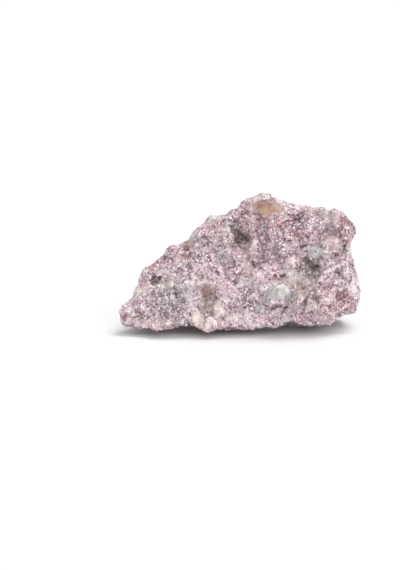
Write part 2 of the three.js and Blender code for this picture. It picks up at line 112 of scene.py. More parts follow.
# Mineral patches of the broad front face, placed across and up it as they are seen.
PATCHES = {
    "tan": [
        patch(7.9, 40.6, 4.1, 3.1, lean=12),
        patch(11.4, 40.7, 3.0, 1.6, lean=10, seen=0.75),
        patch(-11.2, 13.2, 2.3, 2.2, lean=20, seen=0.5),
        patch(20.4, 14.0, 1.8, 3.0, lean=-5, seen=0.25),
        patch(-11.5, 8.6, 2.4, 3.4, seen=0.32),
        patch(-10.2, 11.8, 1.4, 1.8, seen=0.5),
        patch(25.4, 39.1, 1.7, 0.9, lean=12, seen=0.35),
        patch(-16.6, 28.3, 1.6, 1.3, seen=0.4),
        patch(31.8, 25.8, 2.0, 0.5, lean=14, seen=0.5),
    ],
    "smoky": [
        patch(-0.9, 31.2, 1.6, 3.1, lean=-8),
        patch(-1.0, 32.6, 2.4, 3.8, lean=-8, seen=0.5),
        patch(0.9, 30.4, 1.5, 1.2, seen=0.6),
        patch(-2.2, 28.4, 1.7, 1.5, seen=0.45),
        patch(-1.2, 35.6, 1.2, 1.9, lean=-20, seen=0.5),
        patch(-3.4, 34.7, 1.1, 0.5, lean=15, seen=0.9),
        patch(2.3, 36.0, 1.3, 1.2, lean=30, seen=0.3),
        patch(21.8, 23.2, 2.0, 1.4, lean=25, seen=0.95),
        patch(22.8, 22.3, 2.7, 1.6, lean=38, seen=0.85),
        patch(23.8, 21.4, 2.3, 1.8, lean=30, seen=0.9),
        patch(20.6, 20.4, 2.6, 1.5, seen=0.65),
        patch(23.0, 18.2, 2.4, 1.5, lean=25, seen=0.5),
        patch(20.2, 15.0, 1.9, 2.4, lean=10, seen=0.35),
        patch(-11.2, 13.0, 2.4, 2.2, lean=20, seen=0.7),
        patch(-11.6, 7.4, 2.4, 3.0, seen=0.3),
        patch(-12.4, 17.9, 2.4, 0.8, lean=12, seen=0.45),
        patch(-28.3, 16.6, 1.8, 1.6, seen=0.6),
        patch(-2.3, 16.2, 1.3, 0.6, lean=20, seen=0.8),
        patch(4.5, 22.0, 0.8, 1.3, lean=-10, seen=0.75),
        patch(-33.6, 4.3, 1.1, 1.1, seen=0.4),
        patch(-18.6, 8.6, 1.1, 2.4, seen=0.3),
        patch(12.2, 8.3, 1.4, 0.5, lean=-10, seen=0.5),
        # Painted shade on the slab's shaded right side.
        patch(16.3, 10.8, 1.9, 1.4, lean=-20, seen=0.2),
        patch(-11.6, 8.6, 1.8, 3.0, seen=0.3),
    ],
    "blush": [
        patch(3.5, 28.3, 1.6, 3.1, lean=18),
        patch(4.5, 27.4, 0.9, 2.2, seen=0.8),
        patch(3.2, 25.0, 2.8, 1.3, seen=0.75),
        patch(16.5, 23.2, 1.9, 1.1, lean=-6),
        patch(30.4, 29.6, 2.8, 3.2, lean=10, seen=0.95),
        patch(28.6, 31.2, 1.8, 1.8, seen=0.6),
        patch(2.0, 20.6, 1.1, 3.6, seen=0.4),
        patch(28.0, 4.0, 3.4, 1.6, lean=-10, seen=0.6),
        patch(-13.2, 2.2, 1.6, 1.6, seen=0.4),
        patch(35.8, 23.4, 1.4, 2.0, seen=0.4),
    ],
    "cream": [
        patch(-32.4, 13.2, 2.0, 1.6, seen=0.4),
        patch(-26.6, 3.2, 2.4, 1.2, seen=0.4),
        patch(-19.4, 22.7, 1.8, 1.2, seen=0.5),
        patch(22.0, 8.8, 2.5, 2.0, seen=0.35),
        patch(17.0, 16.4, 2.6, 1.5, lean=-20, seen=0.35),
        patch(-3.0, 4.4, 1.8, 1.0, lean=-30, seen=0.4),
        patch(-34.6, 4.4, 2.0, 1.6, seen=0.35),
        patch(14.0, 40.2, 1.8, 1.4, lean=15, seen=0.3),
        patch(14.2, 37.6, 1.2, 1.4, seen=0.5),
        patch(28.2, 37.6, 2.6, 2.8, lean=20, seen=0.42),
        patch(20.2, 12.6, 1.1, 2.2, lean=-5, seen=0.8),
        patch(20.6, 15.8, 2.6, 2.6, seen=0.4),
        patch(-14.2, 3.6, 2.1, 3.2, lean=-18, seen=0.8),
        patch(-12.4, 1.8, 2.4, 1.8, seen=0.7),
        patch(-7.1, 7.8, 1.9, 2.8, lean=-12, seen=0.82),
        patch(-24.0, 15.3, 2.6, 1.1, lean=-4, seen=0.85),
        patch(-15.3, 17.9, 1.0, 1.2, seen=0.75),
        patch(-20.4, 22.9, 0.9, 0.8, seen=0.6),
        patch(23.4, 8.4, 1.6, 0.9, seen=0.6),
        patch(28.6, 10.4, 2.2, 0.8, lean=-25, seen=0.5),
        patch(-7.2, 31.6, 2.4, 1.1, lean=-15, seen=0.5),
    ],
    "quartz": [
        patch(25.0, 26.0, 2.4, 2.0, seen=0.9),
        patch(28.2, 25.8, 2.4, 1.4, seen=0.7),
        patch(32.2, 28.2, 0.9, 1.0, seen=0.8),
        patch(10.9, 12.9, 3.3, 2.6, lean=-32),
        patch(13.6, 13.4, 3.0, 2.6, lean=-20),
        patch(9.4, 10.2, 3.2, 1.7, lean=-25, seen=0.95),
        patch(15.8, 10.9, 2.5, 1.7, lean=-20),
        patch(18.0, 17.2, 2.6, 2.6, lean=20, seen=0.6),
        patch(21.6, 17.6, 2.8, 2.6, seen=0.5),
        patch(3.0, 16.1, 3.1, 1.3, seen=0.9),
        patch(-6.2, 24.8, 2.2, 3.2, lean=-8, seen=0.42),
        patch(-11.6, 8.9, 2.0, 3.2, seen=0.9),
        patch(-16.9, 31.1, 1.6, 0.9, lean=-30),
        patch(-7.6, 37.7, 3.0, 0.7, lean=-24, seen=0.9),
        patch(-7.6, 31.2, 2.5, 1.2, lean=-15, seen=0.5),
        patch(13.4, 42.8, 1.9, 0.6, lean=14, seen=0.9),
        patch(29.6, 36.8, 2.0, 3.0, lean=-6, seen=0.42),
        patch(6.2, 7.4, 1.8, 0.8, lean=30, seen=0.6),
        patch(15.0, 3.0, 2.4, 1.3, seen=0.7),
        patch(17.2, 6.4, 1.5, 1.6, seen=0.6),
        patch(-33.7, 4.2, 1.2, 1.3, lean=20, seen=0.7),
        patch(-36.2, 6.1, 1.3, 0.8, lean=20, seen=0.8),
        patch(-25.0, 9.3, 1.8, 0.8, lean=-20, seen=0.7),
        patch(-26.0, 20.1, 1.9, 0.8, lean=5, seen=0.7),
        patch(-21.4, 16.2, 2.4, 1.2, lean=20, seen=0.6),
        patch(-24.6, 13.4, 2.4, 1.0, seen=0.5),
        patch(-22.8, 5.8, 3.0, 1.6, seen=0.4),
        patch(-16.6, 9.8, 1.9, 2.2, seen=0.4),
        patch(37.6, 14.4, 1.2, 3.4, seen=0.5),
        patch(-22.5, 12.0, 9.0, 8.0, lean=-20, seen=0.2),
    ],
    "rose": [
        patch(-12.0, 33.0, 2.9, 1.5, lean=-38),
        patch(-7.0, 35.5, 2.6, 1.1, lean=-35, seen=0.9),
        patch(-27.3, 22.7, 3.4, 1.7, lean=-42),
        patch(-38.6, 4.9, 1.3, 2.0),
        patch(-6.4, 15.2, 2.7, 2.5, seen=0.9),
        patch(-2.6, 7.7, 2.4, 1.4, seen=0.8),
        patch(-6.8, 2.4, 1.2, 1.3, seen=0.6),
        patch(-10.3, 23.6, 0.8, 2.3, lean=-24),
        patch(-8.8, 20.6, 1.0, 1.6, lean=-45),
        patch(11.0, 17.8, 1.4, 1.1),
        patch(7.4, 16.2, 1.8, 1.4, lean=-30, seen=0.7),
        patch(4.9, 33.4, 1.5, 1.8),
        patch(1.6, 40.0, 3.2, 2.4, seen=0.8),
        patch(0.4, 36.2, 3.2, 2.4, seen=0.5),
        patch(6.0, 37.4, 4.4, 2.0, seen=0.7),
        patch(11.8, 35.6, 3.0, 2.4, seen=0.8),
        patch(19.6, 31.4, 5.2, 2.8, seen=0.6),
        patch(10.6, 21.6, 3.2, 2.2, seen=0.5),
        patch(2.0, 21.6, 1.6, 5.4, seen=0.6),
        patch(-1.0, 26.4, 3.4, 1.6, seen=0.5),
        patch(27.6, 13.4, 4.2, 3.6, lean=40, seen=0.5),
        patch(33.8, 10.2, 3.6, 3.4),
        patch(28.6, 6.8, 2.6, 2.0, seen=0.8),
        patch(20.4, 4.9, 2.0, 1.6, seen=0.6),
        patch(34.8, 35.2, 3.0, 3.6, seen=0.9),
        patch(35.6, 31.0, 1.6, 3.4, lean=25, seen=0.8),
        patch(31.6, 38.4, 1.6, 1.2, seen=0.8),
        patch(21.4, 39.6, 2.6, 1.1, lean=10, seen=0.8),
        patch(17.2, 37.2, 2.4, 2.2, seen=0.6),
        patch(-30.4, 3.0, 5.0, 1.8, seen=0.4),
        patch(-32.0, 15.0, 2.6, 2.4, lean=30, seen=0.5),
        patch(-19.0, 24.8, 4.0, 2.2, lean=-20, seen=0.5),
        patch(6.4, 4.4, 1.4, 1.0, seen=0.9),
    ],
    "plum": [
        patch(23.0, 22.4, 2.0, 1.2, lean=38, seen=0.4),
        patch(19.0, 4.0, 8.0, 2.2, seen=0.2),
        patch(30.4, 29.6, 2.8, 3.2, lean=10, seen=0.15),
        patch(8.8, 42.6, 2.8, 0.8, lean=14, seen=0.25),
        # Painted shade on the slab's shaded right side.
        patch(16.3, 10.8, 2.2, 1.6, lean=-20),
        patch(-11.6, 8.8, 2.2, 3.4, seen=0.55),
        patch(27.0, 29.6, 1.6, 2.6, seen=0.3),
        patch(12.4, 12.8, 4.2, 2.4, lean=-32, seen=0.25),
        patch(3.0, 16.1, 3.0, 1.2, seen=0.2),
        patch(-24.6, 26.2, 4.4, 2.6, lean=-35, seen=0.3),
        patch(-17.0, 22.8, 5.0, 3.0, lean=-20, seen=0.15),
        patch(19.4, 36.6, 3.4, 3.2),
        patch(18.6, 33.2, 3.0, 2.0, seen=0.7),
        patch(20.6, 30.6, 4.4, 2.4, seen=0.4),
        patch(27.0, 32.6, 1.9, 1.6, seen=0.8),
        patch(9.6, 29.4, 5.0, 2.6, seen=0.4),
        patch(11.6, 33.6, 4.4, 3.0, seen=0.4),
        patch(11.4, 26.0, 5.2, 2.6, lean=10, seen=0.55),
        patch(6.4, 23.2, 3.6, 2.2, seen=0.4),
        patch(14.4, 24.9, 2.4, 1.1, seen=0.6),
        patch(32.6, 18.8, 1.4, 1.8, lean=-30),
        patch(36.6, 20.4, 0.9, 2.8, seen=0.8),
        patch(32.8, 11.6, 2.1, 1.6, lean=20),
        patch(35.4, 10.6, 2.0, 1.8, lean=20, seen=0.9),
        patch(25.2, 12.2, 1.9, 2.4, lean=30, seen=0.45),
        patch(28.6, 14.6, 2.2, 2.0, seen=0.25),
        patch(28.6, 7.6, 2.2, 1.6, seen=0.5),
        patch(20.3, 5.0, 1.6, 1.2, seen=0.5),
        patch(33.5, 30.6, 0.9, 3.0, lean=-20, seen=0.9),
        patch(34.4, 36.4, 2.4, 1.7, lean=20, seen=0.95),
        patch(35.0, 33.4, 2.8, 4.4, seen=0.5),
        patch(34.8, 7.2, 3.4, 2.0, seen=0.5),
        patch(26.4, 37.8, 3.4, 2.2, seen=0.5),
        patch(-7.5, 31.2, 2.6, 1.4, seen=0.35),
        patch(-10.4, 23.6, 0.8, 2.2, lean=-24, seen=0.8),
        patch(-8.8, 20.5, 1.1, 1.9, lean=-45),
        patch(-15.6, 24.9, 3.0, 0.9, lean=-12, seen=0.7),
        patch(-17.4, 21.4, 1.8, 1.0, lean=30, seen=0.6),
        patch(-7.0, 35.3, 1.8, 0.9, lean=-35, seen=0.7),
        patch(-11.6, 31.8, 2.2, 1.3, lean=-20, seen=0.5),
        patch(1.2, 38.8, 1.2, 1.5, seen=0.8),
        patch(0.4, 36.0, 3.0, 2.2, seen=0.7),
        patch(4.9, 33.0, 1.1, 1.3, seen=0.4),
        patch(-23.0, 5.6, 3.2, 1.9),
        patch(-28.4, 16.8, 1.9, 1.9, seen=0.9),
        patch(-31.4, 4.7, 1.6, 1.0, seen=0.7),
        patch(-25.0, 11.7, 2.2, 0.6, seen=0.8),
        patch(-28.2, 8.6, 1.6, 1.0, seen=0.5),
        patch(-24.6, 8.6, 6.0, 5.4, seen=0.6),
        patch(-23.6, 16.8, 6.2, 3.4, seen=0.22),
        patch(-2.6, 20.4, 3.4, 1.8, seen=0.15),
        patch(-6.2, 24.8, 2.4, 3.4, lean=-8, seen=0.95),
        patch(-5.6, 22.0, 1.4, 0.8, seen=0.6),
        patch(14.0, 6.5, 1.7, 1.2, lean=-35, seen=0.4),
        patch(3.2, 8.2, 2.6, 1.2, lean=30, seen=0.9),
        patch(1.6, 12.6, 2.2, 2.6, seen=0.6),
        patch(-2.4, 7.6, 2.0, 1.0, seen=0.6),
        patch(-16.4, 12.7, 1.6, 0.8, seen=0.5),
        patch(-38.6, 4.9, 1.0, 1.6, seen=0.25),
        patch(-20.4, 4.0, 2.4, 1.4, seen=0.5),
        patch(11.0, 17.8, 1.3, 1.0, seen=0.5),
    ],
    # Pale: paler mica, and in places painted light: glints, the lit top and right rims, and a lightened
    # shaded hollow.
    "pale_and_highlit": [
        patch(3.6, 28.2, 1.5, 2.9, lean=18, seen=0.6),
        patch(26.4, 25.8, 3.4, 1.6, seen=0.4),
        patch(-38.6, 5.6, 2.0, 3.0, seen=0.4),
        patch(16.5, 23.3, 1.9, 1.1, lean=-6, seen=0.45),
        patch(-7.1, 8.0, 1.8, 2.6, lean=-12, seen=0.8),
        patch(-14.4, 3.8, 1.9, 3.2, lean=-18, seen=0.8),
        patch(10.2, 9.3, 2.2, 0.7, lean=-12, seen=0.7),
        patch(12.5, 6.2, 3.8, 1.1, seen=0.75),
        patch(-12.0, 32.6, 2.6, 1.4, lean=-38, seen=0.25),
        patch(7.2, 44.8, 3.4, 1.2, seen=0.9),
        patch(4.6, 40.4, 1.3, 2.2, lean=-12, seen=0.6),
        # Painted light on the lit top rim.
        patch(16.8, 41.8, 4.4, 1.0, lean=10, seen=0.95),
        patch(6.6, 18.9, 2.3, 1.2, lean=-42),
        patch(13.4, 19.8, 1.6, 0.8, seen=0.8),
        # Painted light over the shaded hollow below the pink lump.
        patch(14.0, 20.4, 4.0, 2.0, seen=0.5),
        patch(8.8, 14.6, 2.8, 0.6, lean=-38, seen=0.8),
        patch(26.9, 22.6, 1.2, 1.0),
        # Painted glint.
        patch(27.2, 18.9, 0.9, 1.1),
        patch(23.4, 13.8, 0.7, 4.6, lean=38),
        patch(29.4, 21.6, 2.2, 1.6, seen=0.6),
        # Painted light on the lit right edge.
        patch(37.8, 14.2, 1.4, 3.8, seen=0.7),
        patch(35.8, 23.4, 1.4, 3.0, seen=0.45),
        patch(35.0, 34.2, 0.9, 0.9, seen=0.8),
        patch(26.8, 34.6, 1.0, 0.9, seen=0.7),
        # These two are painted glints.
        patch(-16.8, 16.2, 1.6, 1.0, lean=10),
        patch(-13.6, 15.7, 0.9, 1.1),
        patch(-13.6, 22.0, 1.9, 1.9, seen=0.5),
        patch(-9.9, 2.7, 2.2, 1.7, lean=-38, seen=0.5),
        patch(-34.8, 12.6, 1.2, 3.2, lean=25, seen=0.8),
        patch(-33.6, 7.6, 2.2, 1.0, seen=0.6),
        patch(-23.4, 18.8, 2.1, 0.6, lean=24, seen=0.8),
        patch(-23.3, 10.9, 1.6, 0.8, lean=-35, seen=0.8),
        patch(-5.2, 10.4, 1.8, 1.2, seen=0.6),
        patch(-6.4, 15.2, 2.8, 2.4, seen=0.45),
        patch(0.6, 3.6, 3.4, 1.8, seen=0.6),
        patch(5.0, 1.6, 8.0, 0.9, seen=0.5),
        patch(9.0, 4.2, 4.0, 2.0, seen=0.4),
        patch(-28.0, 1.6, 8.0, 1.4, seen=0.3),
        patch(-4.0, 26.4, 1.6, 1.6, seen=0.4),
        patch(15.6, 33.2, 1.4, 1.4, seen=0.4),
    ],
    # Cracks: cut into the surface and coloured near-black as painted shade; those under the slab paint
    # its shadow.
    "crack_and_shade": [
        patch(9.2, 43.4, 2.2, 0.22, lean=6, seen=0.4),
        patch(11.9, 42.2, 0.9, 0.22, lean=45, seen=0.4),
        patch(-26.7, 17.5, 0.75, 0.85),
        patch(-21.4, 12.0, 0.5, 1.2, lean=-28),
        patch(5.3, 9.5, 1.3, 0.3, lean=40),
        patch(8.2, 8.6, 1.3, 0.3, lean=30, seen=0.6),
        patch(12.2, 8.4, 1.3, 0.4, lean=-8, seen=0.8),
        patch(14.8, 7.8, 0.9, 0.35, lean=-30, seen=0.7),
        patch(9.7, 10.1, 0.7, 0.2, lean=4, seen=0.9),
        patch(32.8, 31.8, 0.6, 1.7, lean=-14, seen=0.4),
        patch(34.0, 29.0, 0.5, 1.6, lean=-28, seen=0.35),
        patch(34.4, 26.8, 0.4, 1.0, lean=10, seen=0.4),
        patch(31.6, 25.5, 1.9, 0.3, lean=14, seen=0.7),
        patch(20.8, 27.9, 1.2, 0.4, lean=-14, seen=0.7),
        patch(19.0, 36.9, 1.0, 0.4, lean=-20, seen=0.8),
        patch(13.9, 18.4, 1.1, 0.35, lean=-10, seen=0.8),
        patch(16.2, 29.8, 0.8, 0.3, lean=-20, seen=0.8),
        patch(-25.2, 11.7, 1.6, 0.3, lean=-8, seen=0.5),
        patch(-25.3, 8.6, 1.2, 0.25, lean=-24, seen=0.7),
        patch(-24.4, 4.4, 0.25, 1.0, lean=-40, seen=0.7),
        patch(-28.6, 18.6, 1.4, 0.3, lean=48, seen=0.7),
        patch(-22.2, 14.2, 1.2, 0.25, lean=-8, seen=0.6),
        patch(-0.5, 31.4, 0.5, 1.4, lean=10),
        patch(-1.9, 29.2, 0.5, 1.2, lean=20, seen=0.8),
        patch(4.2, 22.8, 0.3, 1.0, lean=8, seen=0.9),
        patch(6.9, 20.4, 1.2, 0.3, lean=20, seen=0.6),
        patch(-16.2, 4.0, 0.3, 2.6, lean=-16, seen=0.6),
        patch(-7.9, 19.8, 1.2, 0.35, lean=48, seen=0.8),
    ],
}
KINDS = tuple(PATCHES)
MINERALS = ("tan", "smoky", "blush", "cream", "quartz")
# The kinds that flakes take on from the surface under them.
KINDS_ON_FLAKES = (*MINERALS, "rose", "plum", "pale_and_highlit")
# The least share of each mineral in the mica of the front face.
STRAY = {"tan": 0.0, "smoky": 0.015, "blush": 0.06, "cream": 0.05, "quartz": 0.05}
# How far a mineral colours a grain that is its own, and how far it tinges all grains by its share.
OWN_GRAIN = 0.6
TINGE = 0.55
# Between these shares a mineral comes to cover the rock's surface fully.
FULL_COVER = (0.8, 0.95)
# How much each mineral keeps the mica flakes away.
BARE = {"tan": 0.98, "smoky": 0.6, "blush": 0.8, "cream": 0.75, "quartz": 0.82}
# Rose comes and goes in clouds of this noise, and from flake to flake, by these amounts.
HUE_NOISE = {"size": 4.5, "seed": 53, "layers": 4}
HUE_CLOUDS = 1.3
HUE_OF_FLAKES = 0.32
# How deep the cracks go, in millimetres.
CRACK_DEPTH = 0.5

# The patches' edges are ragged by two noises, each with its reach as a share of the patch.
EDGE_LUMPS = {"size": 2.6, "seed": 41}
LUMP_REACH = 0.8
EDGE_CRUMBS = {"size": 0.8, "seed": 47}
CRUMB_REACH = 0.5
# A patch is whole within the first of these and gone outside the second; its edge is at 1.
PATCH_FADES = (0.7, 1.25)
# The patches of the front face give way where the surface turns edge-on to the camera, and
# between these depths in millimetres, where y is 0 in the rock's middle.
EDGE_ON = 0.15
FRONT_ENDS = (10.0, 3.0)

# On the sides that the photo doesn't show, the minerals follow three noises. Each one begins
# where its noise passes the first value and has its greatest share from the second on.
HIDDEN_NOISES = {
    "broad": {"size": 13.0, "seed": 61},
    "middle": {"size": 11.0, "seed": 67},
    "small": {"size": 7.0, "seed": 71},
}
HIDDEN_MINERALS = {
    "tan": {"noise": "small", "grows": (0.76, 0.82), "most": 0.5},
    "smoky": {"noise": "broad", "grows": (0.75, 0.82), "most": 0.6},
    "blush": {"noise": "middle", "grows": (0.36, 0.3), "most": 0.8},
    "cream": {"noise": "middle", "grows": (0.64, 0.72), "most": 0.6},
    "quartz": {"noise": "broad", "grows": (0.65, 0.74), "most": 0.8},
    "rose": {"noise": "middle", "grows": (0.5, 0.36), "most": 0.8},
    "plum": {"noise": "small", "grows": (0.42, 0.3), "most": 0.55},
    "pale_and_highlit": {"noise": "small", "grows": (0.56, 0.68), "most": 0.5},
}
# Cracks there run where the broad noise is near its middle: from the first distance to it they
# begin, and at the second they are full.
HIDDEN_CRACKS = (0.008, 0.002)

# Mica flakes: how many in each piece, their sides, their half widths in millimetres, how far
# they are usually tilted off the surface, in degrees, and the seed of their random draws.
FLAKES = {
    "flakes_broad": {"count": 9200, "sides": 6, "small": 0.24, "large": 0.6, "tilt": 24, "seed": 100},
    "flakes_middle": {"count": 11500, "sides": 5, "small": 0.18, "large": 0.42, "tilt": 30, "seed": 101},
    "flakes_fine": {"count": 16000, "sides": 4, "small": 0.13, "large": 0.32, "tilt": 38, "seed": 102},
    "flakes_finest": {"count": 16000, "sides": 4, "small": 0.11, "large": 0.24, "tilt": 42, "seed": 103},
}
FLAKE_THICKNESS = (0.06, 0.16)
# The higher this power, the more of the flakes are small ones.
WIDTH_POWER = 1.6
# How far a flake's middle may lie off the surface, in millimetres.
FLAKE_RISE = (-0.16, 0.1)
# No flake is tilted further off the surface than this, in radians.
STEEPEST_TILT = 1.2
# Flakes start from surface above the first height, and their rims stay above the second.
LOWEST_FLAKE = 0.6
LOWEST_RIM = 0.1
# How much crevices keep flakes away.
BARE_CREVICES = 0.8
# How uneven a flake's corners are, how long or short it may be, and how wide its top is.
CORNER_TURN = 0.22
CORNER_REACH = (0.78, 1.12)
STRETCH = (0.65, 1.5)
TOP_WIDTH = 0.93
# The shares of near-black plum flakes, which also stand in as painted shade between the grains, and of
# near-white ones; the rest lie between.
DARK_AND_SHADE_FLAKES = 0.18
WHITE_FLAKES = 0.18
# Tints run from 0 for the deepest to 1 for the palest.
USUAL_TINT = 0.56
TINT_SPREAD = 0.23
TINT_LIMITS = (0.05, 0.95)
DARK_AND_SHADE_TINTS = 0.25
WHITE_TINT = 0.85
WHITE_SPREAD = 0.2


def hashed(cells, seed):
    """A repeatable number from 0 to 1 for each row of three whole numbers.

    The large odd numbers only stir the bits well.
    """
    i, j, k = (cells[:, n].astype(np.int64).astype(np.uint32) for n in range(3))
    mixed = i * np.uint32(73856093) ^ j * np.uint32(19349663) ^ k * np.uint32(83492791)
    mixed = mixed ^ np.uint32(seed * 2654435 + 97)
    mixed = (mixed ^ (mixed >> np.uint32(15))) * np.uint32(2246822519)
    mixed = (mixed ^ (mixed >> np.uint32(13))) * np.uint32(3266489917)
    mixed = mixed ^ (mixed >> np.uint32(16))
    return (mixed & np.uint32(0xFFFFFF)) / float(0xFFFFFF)


def three_hashed(cells, seed):
    """Three repeatable numbers from 0 to 1 for each row of three whole numbers."""
    return np.stack([hashed(cells, seed + AXIS_SEED * n) for n in range(3)], axis=1)


def smooth_noise(points, size, seed):
    """Soft noise from 0 to 1 whose lumps are about size across."""
    scaled = points / size
    base = np.floor(scaled)
    part = scaled - base
    part = part * part * (3 - 2 * part)
    total = np.zeros(len(points))
    for step in np.ndindex(2, 2, 2):
        corner = np.array(step)
        weight = np.prod(np.where(corner == 1, part, 1 - part), axis=1)
        total += weight * hashed(base + corner, seed)
    return total


def layered_noise(points, size, seed, layers=3):
    """Soft noise from 0 to 1 with finer and weaker layers on it."""
    total = np.zeros(len(points))
    whole = 0.0
    for layer in range(layers):
        weight = 0.5**layer
        total += weight * smooth_noise(points, size * weight, seed + layer)
        whole += weight
    return total / whole


def facets(points, size, height, tilt, seed):
    """Flat tilted breaks: height, tint and pick of the break at each point, and its border.

    Tint and pick are from 0 to 1 and the same over one break. Border is 0 where two breaks meet.
    """
    scaled = points / size
    base = np.floor(scaled)
    nearest = np.full(len(points), np.inf)
    second = np.full(len(points), np.inf)
    rise = np.zeros(len(points))
    tint = np.zeros(len(points))
    pick = np.zeros(len(points))
    for step in np.ndindex(3, 3, 3):
        cell = base + np.array(step) - 1
        centre = cell + three_hashed(cell, seed)
        offset = scaled - centre
        distance = np.einsum("ij,ij->i", offset, offset)
        slope = three_hashed(cell, seed + SLOPE_SEED) - 0.5
        level = hashed(cell, seed + LEVEL_SEED)
        here = height * (2 * level - 1) + 2 * tilt * size * np.einsum("ij,ij->i", slope, offset)
        closer = distance < nearest
        second = np.where(closer, nearest, np.minimum(second, distance))
        nearest = np.where(closer, distance, nearest)
        rise = np.where(closer, here, rise)
        tint = np.where(closer, level, tint)
        pick = np.where(closer, hashed(cell, seed + PICK_SEED), pick)
    return rise, tint, pick, np.sqrt(second) - np.sqrt(nearest)


def eased_step(value, low, high):
    """0 up to low and 1 from high on, softly between; low may be the larger of the two."""
    part = np.clip((value - low) / (high - low), 0, 1)
    return part * part * (3 - 2 * part)


def patch_reach(across, up, one):
    """How far places on the front face are from a patch's middle: 1 on its edge."""
    lean = math.radians(one["lean"])
    dx = across - one["at"][0]
    dz = up - one["at"][1]
    side = dx * math.cos(lean) - dz * math.sin(lean)
    along = dx * math.sin(lean) + dz * math.cos(lean)
    return np.sqrt((side / one["size"][0]) ** 2 + (along / one["size"][1]) ** 2)


def as_seen(points):
    """How far points are across and up the picture, in millimetres at the front edge's distance."""
    behind = points[:, 1] - FRONT_FLOOR.y / MM
    up = points[:, 2] * math.cos(ELEVATION) + behind * math.sin(ELEVATION)
    depth = behind * math.cos(ELEVATION) - points[:, 2] * math.sin(ELEVATION)
    near = DISTANCE / (DISTANCE + depth * MM)
    aim_right = AIM_RIGHT / MM
    aim_up = AIM_UP / MM
    return aim_right + (points[:, 0] - aim_right) * near, aim_up + (up - aim_up) * near


def mineral_shares(points, normals):
    """The share of each mineral kind, from 0 to 1, at points of the surface in millimetres."""
    across, up = as_seen(points)
    facing = normals[:, 2] * math.sin(ELEVATION) - normals[:, 1] * math.cos(ELEVATION)
    front = eased_step(facing, -EDGE_ON, EDGE_ON) * eased_step(points[:, 1], *FRONT_ENDS)
    ragged = LUMP_REACH * (layered_noise(points, **EDGE_LUMPS) - 0.5)
    ragged = ragged + CRUMB_REACH * (smooth_noise(points, **EDGE_CRUMBS) - 0.5)
    noises = {name: layered_noise(points, **noise) for name, noise in HIDDEN_NOISES.items()}
    hidden = {}
    for kind, one in HIDDEN_MINERALS.items():
        hidden[kind] = one["most"] * eased_step(noises[one["noise"]], *one["grows"])
    hidden["crack_and_shade"] = eased_step(np.abs(noises["broad"] - 0.5), *HIDDEN_CRACKS)
    shares = {}
    for kind in KINDS:
        share = np.full(len(points), STRAY.get(kind, 0.0))
        for one in PATCHES[kind]:
            reach = patch_reach(across, up, one) + ragged
            share = np.maximum(share, one["seen"] * (1 - eased_step(reach, *PATCH_FADES)))
        shares[kind] = np.maximum(share * front, hidden[kind] * (1 - front))
    hue_clouds = layered_noise(points, **HUE_NOISE) - 0.5
    shares["rose"] = np.clip(shares["rose"] + HUE_CLOUDS * hue_clouds, 0, 1)
    return shares


def picked(shares, pick):
    """For each grain one mineral, or none for mica: grains of each kind come in its share."""
    chosen = {}
    taken = np.zeros(len(pick))
    for kind in MINERALS:
        limit = taken + shares[kind] * (1 - taken)
        chosen[kind] = ((pick >= taken) & (pick < limit)).astype(float)
        taken = limit
    return chosen


def mineral_colouring(shares, pick):
    """How far each mineral colours each grain, from 0 to 1."""
    own = picked(shares, pick)
    return {kind: np.clip(TINGE * shares[kind] + OWN_GRAIN * own[kind], 0, 1) for kind in MINERALS}


def positions(mesh, sort="vertices", field="co"):
    rows = np.empty(len(getattr(mesh, sort)) * 3, np.float32)
    getattr(mesh, sort).foreach_get(field, rows)
    return rows.reshape(-1, 3).astype(float)


def store(mesh, name, values):
    layer = mesh.attributes.new(name, "FLOAT", "POINT")
    layer.data.foreach_set("value", np.asarray(values, np.float32))


def stored(mesh, name):
    values = np.empty(len(mesh.vertices), np.float32)
    mesh.attributes[name].data.foreach_get("value", values)
    return values


def new_object(name, mesh):
    piece = bpy.data.objects.new(name, mesh)
    bpy.context.scene.collection.objects.link(piece)
    return piece


def apply_modifiers(piece):
    graph = bpy.context.evaluated_depsgraph_get()
    mesh = bpy.data.meshes.new_from_object(piece.evaluated_get(graph))
    piece.modifiers.clear()
    piece.data = mesh


def cube_map(mesh, heart):
    """A map for baking: each face goes to the side of a box that it looks at, six in a grid."""
    layer = mesh.uv_layers.new(name="OFBake")
    counts = np.empty(len(mesh.polygons), np.int32)
    mesh.polygons.foreach_get("loop_total", counts)
    corners = np.empty(len(mesh.loops), np.int32)
    mesh.loops.foreach_get("vertex_index", corners)
    middles = positions(mesh, "polygons", "center") - heart
    reach = np.abs(positions(mesh) - heart).max(axis=0)
    sides = np.abs(middles / reach).argmax(axis=1)
    minus = middles[np.arange(len(sides)), sides] < 0
    side = np.repeat(sides, counts)
    below = np.repeat(minus, counts)
    place = (positions(mesh)[corners] - heart) / reach
    first = np.where(side == 0, place[:, 1], place[:, 0])
    second = np.where(side == 2, place[:, 1], place[:, 2])
    half_square = 0.46
    column = (side + 0.5 + half_square * first) / 3
    row = (below + 0.5 + half_square * second) / 2
    layer.data.foreach_set("uv", np.stack([column, row], axis=1).astype(np.float32).ravel())


